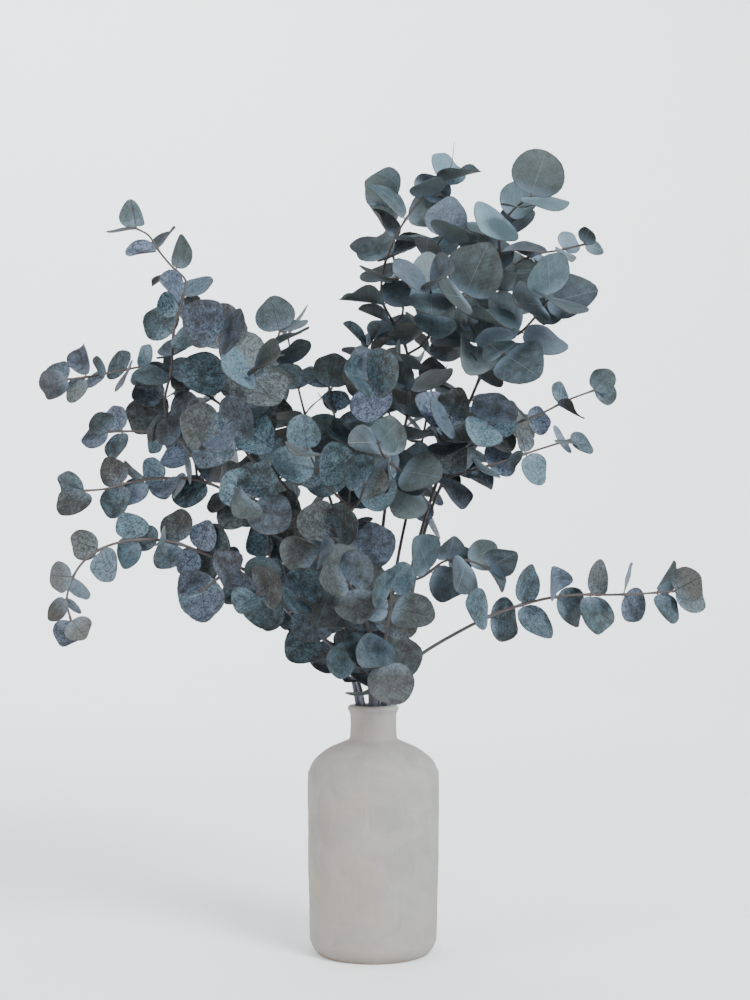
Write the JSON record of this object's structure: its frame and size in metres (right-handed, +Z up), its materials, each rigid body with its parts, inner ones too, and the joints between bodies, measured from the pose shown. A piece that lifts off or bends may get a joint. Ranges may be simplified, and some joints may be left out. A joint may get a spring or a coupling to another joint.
{
  "type": "eucalyptus branches in a vase",
  "caption": "Cut eucalyptus branches with round grey-blue leaves in pairs, fanned out of the narrow neck of a matt off-white bottle vase.",
  "frame": {"origin": "centre of the vase's flat base", "axes": "+Z up along the vase, -Y towards the viewer of the picture"},
  "size_m": [0.5488, 0.2932, 0.6748],
  "materials": {
    "ceramic": "matt, slightly rough",
    "foliage": "matt preserved leaves"
  },
  "bodies": {
    "root": {"vase": "ceramic", "branch_left_high": "foliage", "branch_left_middle": "foliage", "branch_left_low": "foliage", "branch_back_left": "foliage", "branch_back_right": "foliage", "branch_centre": "foliage", "branch_centre_high": "foliage", "branch_right_high": "foliage", "branch_right_middle": "foliage", "branch_right_low": "foliage", "branch_front_low": "foliage"}
  },
  "joints": []
}
